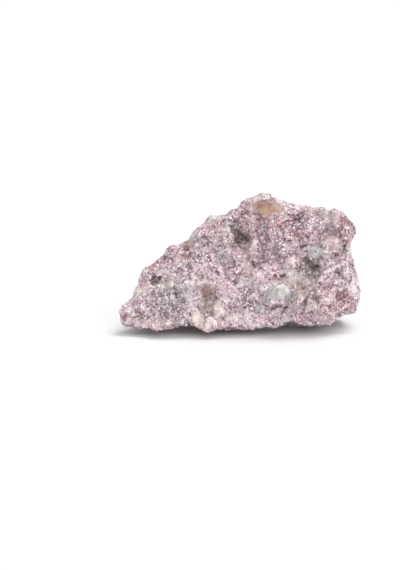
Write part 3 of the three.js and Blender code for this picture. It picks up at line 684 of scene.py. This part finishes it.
def rock_piece():
    """The rock's own surface, fine enough for its small breaks, shaped on the CAD solid."""
    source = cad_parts["rock"].data.copy()
    rock = new_object("rock_surface", source)
    weld = rock.modifiers.new("weld", "WELD")
    weld.merge_threshold = WELD * MM
    remesh = rock.modifiers.new("remesh", "REMESH")
    remesh.mode = "VOXEL"
    remesh.voxel_size = CELL * MM
    apply_modifiers(rock)
    mesh = rock.data
    points = positions(mesh) / MM
    normals = positions(mesh, "vertex_normals", "vector")
    shares = mineral_shares(points, normals)
    mineral = np.maximum.reduce([shares[kind] for kind in MINERALS])
    ruffles = [smooth_noise(points, RUFFLE_SIZE, RUFFLE_SEED + axis) for axis in range(3)]
    ruffled = points + RUFFLE_REACH * np.stack(ruffles, axis=1)
    chunk_rise, _, _, chunk_border = facets(ruffled, **MICA_CHUNKS)
    facet_rise, tint, pick, _ = facets(points, **MICA_FACETS)
    quartz_rise, grain, _, _ = facets(points, **QUARTZ_FACETS)
    crevice_and_shade = 1 - eased_step(chunk_border, *CREVICE_REACH)
    crevice_and_shade = crevice_and_shade * eased_step(smooth_noise(points, **CREVICE_NOISE), *CREVICE_OPENS)
    crevice_and_shade = np.maximum(crevice_and_shade * (1 - mineral), shares["crack_and_shade"])
    crust = CRUST_HEIGHT * (layered_noise(points, **CRUST) - 0.5)
    mica_rise = chunk_rise + facet_rise + crust - CREVICE_DEPTH * crevice_and_shade
    mineral_rise = MINERAL_BREAKS * quartz_rise + MINERAL_CRUST * crust
    rise = (1 - mineral) * mica_rise + mineral * mineral_rise
    rise = rise * (1 - TAN_SMOOTHNESS * shares["tan"]) - CRACK_DEPTH * shares["crack_and_shade"]
    grown = eased_step(points[:, 2], *RELIEF_GROWS)
    moved = points + normals * (rise * grown)[:, None]
    moved[:, 2] = np.maximum(moved[:, 2], 0)
    mesh.vertices.foreach_set("co", (moved * MM).astype(np.float32).ravel())
    coloured = {**shares, **mineral_colouring(shares, pick), "tan": shares["tan"]}
    for kind in MINERALS:
        coloured[kind] = np.maximum(coloured[kind], eased_step(shares[kind], *FULL_COVER))
    for kind in KINDS:
        store(mesh, kind, coloured[kind])
    for kind in KINDS_ON_FLAKES:
        store(mesh, kind + "_share", shares[kind])
    store(mesh, "tint", tint)
    store(mesh, "grain", (grain + pick) / 2)
    # The relief's height, kept for painted shade: low places come out darker, high ones lighter.
    store(mesh, "relief_shade", np.clip(0.5 + rise, 0, 1))
    # The crevices are cut into the surface and also darken the mica as painted shade.
    store(mesh, "crevice_and_shade", crevice_and_shade)
    cube_map(mesh, (np.array(cad_low) + np.array(cad_high)) / 2)
    mesh.update()
    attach(rock, "root")
    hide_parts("rock")
    return rock


def scattered(mesh, count, random):
    """Points spread over the surface: places, normals and mineral shares there."""
    mesh.calc_loop_triangles()
    triangles = np.empty(len(mesh.loop_triangles) * 3, np.int32)
    mesh.loop_triangles.foreach_get("vertices", triangles)
    triangles = triangles.reshape(-1, 3)
    points = positions(mesh) / MM
    normals = positions(mesh, "vertex_normals", "vector")
    shares = {kind: stored(mesh, kind + "_share") for kind in KINDS_ON_FLAKES}
    shares["crevice_and_shade"] = stored(mesh, "crevice_and_shade")
    a, b, c = (points[triangles[:, n]] for n in range(3))
    weight = np.linalg.norm(np.cross(b - a, c - a), axis=1) / 2
    for kind in MINERALS:
        weight = weight * (1 - BARE[kind] * shares[kind][triangles].mean(axis=1))
    weight = weight * (1 - BARE_CREVICES * shares["crevice_and_shade"][triangles].mean(axis=1))
    weight = weight * (a[:, 2] > LOWEST_FLAKE)
    chosen = random.choice(len(triangles), size=count, p=weight / weight.sum())
    away = np.sqrt(random.random(count))
    along = random.random(count)
    parts = np.stack([1 - away, away * (1 - along), away * along], axis=1)
    corners = triangles[chosen]
    places = np.einsum("ij,ijk->ik", parts, points[corners])
    facing = np.einsum("ij,ijk->ik", parts, normals[corners])
    facing /= np.linalg.norm(facing, axis=1)[:, None]
    local = {kind: np.einsum("ij,ij->i", parts, share[corners]) for kind, share in shares.items()}
    return places, facing, local


def crossed(facing, random):
    """Two unit directions across each given one, turned at random."""
    spare = random.normal(size=facing.shape)
    first = np.cross(facing, spare)
    first /= np.linalg.norm(first, axis=1)[:, None]
    return first, np.cross(facing, first)


def flake_map(mesh, count, sides):
    """A map for baking: each flake has a square of its own in a grid.

    Its underside and top lie side by side low in the square, with its edges in a row above them.
    """
    layer = mesh.uv_layers.new(name="OFBake")
    columns = math.ceil(math.sqrt(count))
    angle = np.arange(sides) * 2 * math.pi / sides
    ring_size = 0.2
    bottom_middle = (0.25, 0.25)
    top_middle = (0.75, 0.25)
    ring = ring_size * np.stack([np.cos(angle), np.sin(angle)], axis=1)
    edge_size = (0.1, 0.3)
    edge_start = 0.05
    edge_step = 0.15
    edge_level = 0.6
    edge = np.array([(0, 0), (1, 0), (1, 1), (0, 1)]) * edge_size
    edges = [edge + (edge_start + n * edge_step, edge_level) for n in range(sides)]
    one = np.concatenate([ring[::-1] + bottom_middle, ring + top_middle, *edges])
    number = np.arange(count)
    corner = np.stack([number % columns, number // columns], axis=1)
    whole = (corner[:, None, :] + one[None]) / columns
    layer.data.foreach_set("uv", whole.astype(np.float32).ravel())


def flake_mesh(name, centres, facing, widths, thickness, sides, random):
    """Many-sided mica plates joined in one mesh, each one closed."""
    count = len(centres)
    first, second = crossed(facing, random)
    angle = np.arange(sides) * 2 * math.pi / sides
    angle = angle[None] + random.uniform(-CORNER_TURN, CORNER_TURN, (count, sides))
    reach = widths[:, None] * random.uniform(*CORNER_REACH, (count, sides))
    long = random.uniform(*STRETCH, count)[:, None]
    ring = (np.cos(angle) * reach * long)[..., None] * first[:, None]
    ring += (np.sin(angle) * reach / long)[..., None] * second[:, None]
    half = (thickness / 2)[:, None, None] * facing[:, None]
    corners = np.concatenate([ring - half, ring * TOP_WIDTH + half], axis=1) + centres[:, None]
    low = np.arange(sides)
    after = (low + 1) % sides
    walls = np.stack([low, after, after + sides, low + sides], axis=1)
    one = np.concatenate([low[::-1], low + sides, walls.ravel()])
    sizes = np.array([sides, sides] + [4] * sides)
    loops = (one[None] + np.arange(count)[:, None] * 2 * sides).ravel()
    totals = np.tile(sizes, count)
    mesh = bpy.data.meshes.new(name)
    mesh.vertices.add(count * 2 * sides)
    mesh.vertices.foreach_set("co", (corners * MM).astype(np.float32).ravel())
    mesh.loops.add(len(loops))
    mesh.loops.foreach_set("vertex_index", loops.astype(np.int32))
    mesh.polygons.add(len(totals))
    mesh.polygons.foreach_set("loop_start", (np.cumsum(totals) - totals).astype(np.int32))
    mesh.polygons.foreach_set("loop_total", totals.astype(np.int32))
    flake_map(mesh, count, sides)
    mesh.update(calc_edges=True)
    mesh.validate()
    return mesh


def flake_tints(count, random):
    """How pale each flake is, from 0 to 1: most lie between, with some white and some dark, the dark
    ones also painted shade between grains.
    """
    tint = np.clip(random.normal(USUAL_TINT, TINT_SPREAD, count), *TINT_LIMITS)
    draw = random.random(count)
    # Near-black flakes: dark mica, partly painted shade between grains.
    tint = np.where(draw < DARK_AND_SHADE_FLAKES, DARK_AND_SHADE_TINTS * random.random(count), tint)
    white = WHITE_TINT + WHITE_SPREAD * random.random(count)
    return np.where(draw > 1 - WHITE_FLAKES, white, tint)


def flake_piece(name, surface):
    plan = FLAKES[name]
    random = np.random.default_rng(plan["seed"])
    count = plan["count"]
    sides = plan["sides"]
    spread = plan["large"] - plan["small"]
    places, facing, local = scattered(surface, count, random)
    widths = plan["small"] + spread * random.random(count) ** WIDTH_POWER
    thickness = random.uniform(*FLAKE_THICKNESS, count)
    centres = places + facing * random.uniform(*FLAKE_RISE, count)[:, None]
    first, _ = crossed(facing, random)
    tilt = np.abs(random.normal(0, math.radians(plan["tilt"]), count))
    turn = np.clip(tilt, 0, STEEPEST_TILT)
    plate = facing * np.cos(turn)[:, None] + first * np.sin(turn)[:, None]
    own = mineral_colouring(local, random.random(count))
    own["rose"] = np.clip(local["rose"] + random.normal(0, HUE_OF_FLAKES, count), 0, 1)
    # Flakes take from the surface under them the plum, the pale with its painted highlights, and the
    # crevices' painted shade.
    own.update({key: local[key] for key in ("plum", "pale_and_highlit", "crevice_and_shade")})
    own["tint"] = flake_tints(count, random)
    own["gloss"] = random.random(count)
    clear = centres[:, 2] > widths + LOWEST_RIM
    kept = [rows[clear] for rows in (centres, plate, widths, thickness)]
    mesh = flake_mesh(name, *kept, sides, random)
    for key, values in own.items():
        store(mesh, key, np.repeat(values[clear], 2 * sides))
    piece = new_object(name, mesh)
    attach(piece, "root")
    return piece


class Nodes:
    """Short names for the nodes that make a material.

    A value given to them is a number, a colour or what another node puts out.
    """

    def __init__(self, name):
        self.material = bpy.data.materials.new(name)
        self.material.use_nodes = True
        self.tree = self.material.node_tree
        self.shader = self.tree.nodes["Principled BSDF"]

    def feed(self, value, socket):
        if isinstance(value, (float, int)):
            socket.default_value = value
        elif isinstance(value, tuple):
            socket.default_value = (*value, 1)
        else:
            self.tree.links.new(value, socket)

    def shade(self, name, value):
        """Feeds the shader's input of this name."""
        self.feed(value, self.shader.inputs[name])

    def attribute(self, name):
        node = self.tree.nodes.new("ShaderNodeAttribute")
        node.attribute_name = name
        return node.outputs["Fac"]

    def noise(self, scale, detail, rough=0.5):
        place = self.tree.nodes.new("ShaderNodeTexCoord")
        node = self.tree.nodes.new("ShaderNodeTexNoise")
        self.feed(scale, node.inputs["Scale"])
        self.feed(detail, node.inputs["Detail"])
        self.feed(rough, node.inputs["Roughness"])
        self.feed(place.outputs["Object"], node.inputs["Vector"])
        return node.outputs["Fac"]

    def ramp(self, source, stops):
        node = self.tree.nodes.new("ShaderNodeValToRGB")
        row = node.color_ramp.elements
        while len(row) < len(stops):
            row.new(0.5)
        for element, (place, color) in zip(row, stops):
            element.position = place
            element.color = (*color, 1)
        self.feed(source, node.inputs["Fac"])
        return node.outputs["Color"]

    def blend(self, share, low, high):
        """A colour between low and high; the node's colour sockets are 6, 7 and output 2."""
        node = self.tree.nodes.new("ShaderNodeMix")
        node.data_type = "RGBA"
        self.feed(share, node.inputs[0])
        self.feed(low, node.inputs[6])
        self.feed(high, node.inputs[7])
        return node.outputs[2]

    def reckon(self, operation, first, second):
        node = self.tree.nodes.new("ShaderNodeMath")
        node.operation = operation
        self.feed(first, node.inputs[0])
        self.feed(second, node.inputs[1])
        return node.outputs[0]

    def add(self, first, second):
        return self.reckon("ADD", first, second)

    def times(self, first, second):
        return self.reckon("MULTIPLY", first, second)

    def spread(self, value, low, high):
        """Maps a value from 0 to 1 onto low to high."""
        node = self.tree.nodes.new("ShaderNodeMapRange")
        self.feed(value, node.inputs["Value"])
        self.feed(low, node.inputs["To Min"])
        self.feed(high, node.inputs["To Max"])
        return node.outputs["Result"]

    def varied(self, value, noise, reach):
        """A value moved up and down by noise, as far as reach."""
        return self.add(value, self.spread(noise, -reach, reach))

    def bump(self, height, strength, distance):
        node = self.tree.nodes.new("ShaderNodeBump")
        self.feed(strength, node.inputs["Strength"])
        self.feed(distance, node.inputs["Distance"])
        self.feed(height, node.inputs["Height"])
        self.shade("Normal", node.outputs["Normal"])


# Colours of lepidolite from its deepest to its palest, where it is lilac and where it is rose.
LILAC = [
    (0.0, (0.135, 0.08, 0.11)),
    (0.2, (0.30, 0.20, 0.25)),
    (0.5, (0.552, 0.42, 0.467)),
    (0.78, (0.755, 0.65, 0.688)),
    (1.0, (0.92, 0.87, 0.885)),
]
ROSE = [
    (0.0, (0.16, 0.06, 0.08)),
    (0.2, (0.355, 0.17, 0.215)),
    (0.5, (0.62, 0.375, 0.44)),
    (0.78, (0.815, 0.61, 0.655)),
    (1.0, (0.93, 0.85, 0.865)),
]
QUARTZ = [(0.1, (0.36, 0.342, 0.34)), (0.5, (0.52, 0.492, 0.487)), (0.9, (0.74, 0.705, 0.70))]
CREAM = [(0.1, (0.48, 0.40, 0.355)), (0.5, (0.69, 0.60, 0.54)), (0.9, (0.88, 0.80, 0.75))]
BLUSH = [(0.1, (0.36, 0.265, 0.27)), (0.5, (0.535, 0.39, 0.41)), (0.9, (0.74, 0.605, 0.62))]
SMOKY = [(0.1, (0.055, 0.038, 0.036)), (0.5, (0.155, 0.115, 0.108)), (0.9, (0.38, 0.33, 0.31))]
TAN = [(0.25, (0.20, 0.115, 0.088)), (0.5, (0.345, 0.196, 0.143)), (0.75, (0.38, 0.235, 0.165))]
# The cracks' near-black colour is painted shade.
CRACK_SHADE_COLOR = (0.12, 0.065, 0.072)
MINERAL_COLORS = {"tan": TAN, "smoky": SMOKY, "blush": BLUSH, "cream": CREAM, "quartz": QUARTZ}
# How much mica is darker where it is plum, darker in a crevice as painted shade, and lighter where it is
# pale or painted with highlights.
PLUM_MICA = -0.34
CREVICE_PAINTED_SHADE = -0.3
PALE_AND_HIGHLIT_MICA = 0.34
# How much plum draws dark and light mica apart.
PLUM_CONTRAST = 0.7
# How much the other minerals are darker where it is plum, and lighter where it is pale or painted with
# highlights.
PLUM_MINERAL = -0.4
PALE_AND_HIGHLIT_MINERAL = 0.4
# The rock's tint comes from its breaks and from its relief, in these shares; the relief's part is
# painted shade, darker in hollows and lighter on high places.
TINT_OF_BREAKS = 0.55
RELIEF_SHADE_SHARE = 0.45
# Scales of the noises in the materials, and how far they move tints and grains up and down.
FINE_SCALE = 2600
CLOUD_SCALE = 420
FLAKE_SCALE = 3000
ROCK_SPECKLE = 0.5
FLAKE_SPECKLE = 0.46
GRAIN_CLOUDS = 0.35
GRAIN_SPECKLE = 0.3
# Roughness from the shiniest to the dullest, and how much shinier the tan mineral is.
ROCK_ROUGHNESS = (0.34, 0.6)
FLAKE_ROUGHNESS = (0.16, 0.5)
TAN_SHINE = -0.25
ROCK_IOR = 1.56
MICA_IOR = 1.8
BUMP_STRENGTH = 0.5
BUMP_HEIGHT = 0.15 * MM


def mica_color(nodes, tint):
    """Lilac to rose, darker where the rock is plum, darker in crevices as painted shade, and lighter
    where it is pale or painted with highlights.
    """
    darker = nodes.times(nodes.attribute("plum"), PLUM_MICA)
    # Painted shade: mica is darker in crevices.
    painted_crevice_shade = nodes.times(nodes.attribute("crevice_and_shade"), CREVICE_PAINTED_SHADE)
    # Lighter where the mica is pale and where highlights are painted on.
    paler_and_highlit = nodes.times(nodes.attribute("pale_and_highlit"), PALE_AND_HIGHLIT_MICA)
    sharper = nodes.times(nodes.attribute("plum"), nodes.add(tint, -USUAL_TINT))
    level = nodes.add(nodes.add(tint, darker), nodes.add(painted_crevice_shade, paler_and_highlit))
    level = nodes.add(level, nodes.times(sharper, PLUM_CONTRAST))
    return nodes.blend(nodes.attribute("rose"), nodes.ramp(level, LILAC), nodes.ramp(level, ROSE))


def minerals_over(nodes, color, grain, kinds):
    """Minerals over a colour, darker where the rock is plum and lighter where it is pale or painted with
    highlights.
    """
    darker = nodes.times(nodes.attribute("plum"), PLUM_MINERAL)
    paler_and_highlit = nodes.times(nodes.attribute("pale_and_highlit"), PALE_AND_HIGHLIT_MINERAL)
    grain = nodes.add(grain, nodes.add(darker, paler_and_highlit))
    for kind in kinds:
        color = nodes.blend(nodes.attribute(kind), color, nodes.ramp(grain, MINERAL_COLORS[kind]))
    return color


def rock_material():
    nodes = Nodes("lepidolite_rock")
    fine = nodes.noise(FINE_SCALE, detail=3, rough=0.6)
    clouds = nodes.noise(CLOUD_SCALE, detail=4, rough=0.6)
    tint_of_breaks = nodes.times(nodes.attribute("tint"), TINT_OF_BREAKS)
    # Painted shade from the relief: hollows darker, high places lighter.
    painted_relief_shade = nodes.times(nodes.attribute("relief_shade"), RELIEF_SHADE_SHARE)
    tint = nodes.varied(nodes.add(tint_of_breaks, painted_relief_shade), fine, ROCK_SPECKLE)
    grain = nodes.varied(nodes.attribute("grain"), clouds, GRAIN_CLOUDS)
    grain = nodes.varied(grain, fine, GRAIN_SPECKLE)
    color = mica_color(nodes, tint)
    color = minerals_over(nodes, color, grain, ("quartz", "cream", "blush", "smoky"))
    color = minerals_over(nodes, color, clouds, ("tan",))
    # Cracks coloured near-black as painted shade.
    nodes.shade("Base Color", nodes.blend(nodes.attribute("crack_and_shade"), color, CRACK_SHADE_COLOR))
    shinier = nodes.times(nodes.attribute("tan"), TAN_SHINE)
    nodes.shade("Roughness", nodes.add(nodes.spread(fine, *ROCK_ROUGHNESS), shinier))
    nodes.shade("IOR", ROCK_IOR)
    nodes.bump(nodes.add(fine, clouds), BUMP_STRENGTH, BUMP_HEIGHT)
    return nodes.material


def flake_material():
    nodes = Nodes("mica_flake")
    fine = nodes.noise(FLAKE_SCALE, detail=2)
    tint = nodes.varied(nodes.attribute("tint"), fine, FLAKE_SPECKLE)
    nodes.shade("Base Color", minerals_over(nodes, mica_color(nodes, tint), tint, MINERALS))
    nodes.shade("Roughness", nodes.spread(nodes.attribute("gloss"), *FLAKE_ROUGHNESS))
    nodes.shade("IOR", MICA_IOR)
    return nodes.material


def floor_material():
    nodes = Nodes("pale_floor")
    shade = nodes.noise(3, detail=2)
    white = nodes.ramp(shade, [(0.3, (0.745, 0.745, 0.745)), (0.7, (0.755, 0.755, 0.755))])
    nodes.shade("Base Color", white)
    nodes.shade("Roughness", 0.9)
    nodes.shade("Specular IOR Level", 0.1)
    return nodes.material


def camera_at_the_front():
    data = bpy.data.cameras.new("camera")
    data.lens = LENS
    data.sensor_width = SENSOR_WIDTH
    camera = new_object("camera", data)
    forward = Vector((0, math.cos(ELEVATION), -math.sin(ELEVATION)))
    upward = Vector((0, math.sin(ELEVATION), math.cos(ELEVATION)))
    aim = FRONT_FLOOR + Vector((AIM_RIGHT, 0, 0)) + upward * AIM_UP
    camera.location = aim - forward * DISTANCE
    camera.rotation_euler = (math.pi / 2 - ELEVATION, 0, 0)
    data.clip_start = 0.01
    data.clip_end = 60
    bpy.context.scene.camera = camera


def soft_sun(name, side, spread, strength):
    """A wide soft light from one side, its spread in degrees."""
    data = bpy.data.lights.new(name, "SUN")
    data.angle = math.radians(spread)
    data.energy = strength
    lamp = new_object(name, data)
    lamp.location = (0, 0, 1)
    lamp.rotation_euler = Vector(side).to_track_quat("Z", "Y").to_euler()


def studio():
    world = bpy.data.worlds.new("studio")
    bpy.context.scene.world = world
    world.use_nodes = True
    background = world.node_tree.nodes["Background"]
    background.inputs["Color"].default_value = (1, 1, 1, 1)
    background.inputs["Strength"].default_value = 0.68
    soft_sun("softbox", side=(0.36, 0.2, 0.9), spread=36, strength=1.9)
    soft_sun("front_fill", side=(0.42, -0.8, 0.4), spread=60, strength=1.6)
    mesh = bpy.data.meshes.new("floor")
    far = 12
    corners = [(-far, -far, 0), (far, -far, 0), (far, far, 0), (-far, far, 0)]
    mesh.from_pydata(corners, [], [(0, 1, 2, 3)])
    floor = new_object("floor", mesh)
    floor.data.materials.append(floor_material())
    bpy.context.scene.view_settings.view_transform = "Standard"


camera_at_the_front()
studio()
rock = rock_piece()
rock.data.materials.clear()
rock.data.materials.append(rock_material())
mica = flake_material()
for name in FLAKES:
    flakes = flake_piece(name, rock.data)
    flakes.data.materials.append(mica)

bpy.context.view_layer.update()
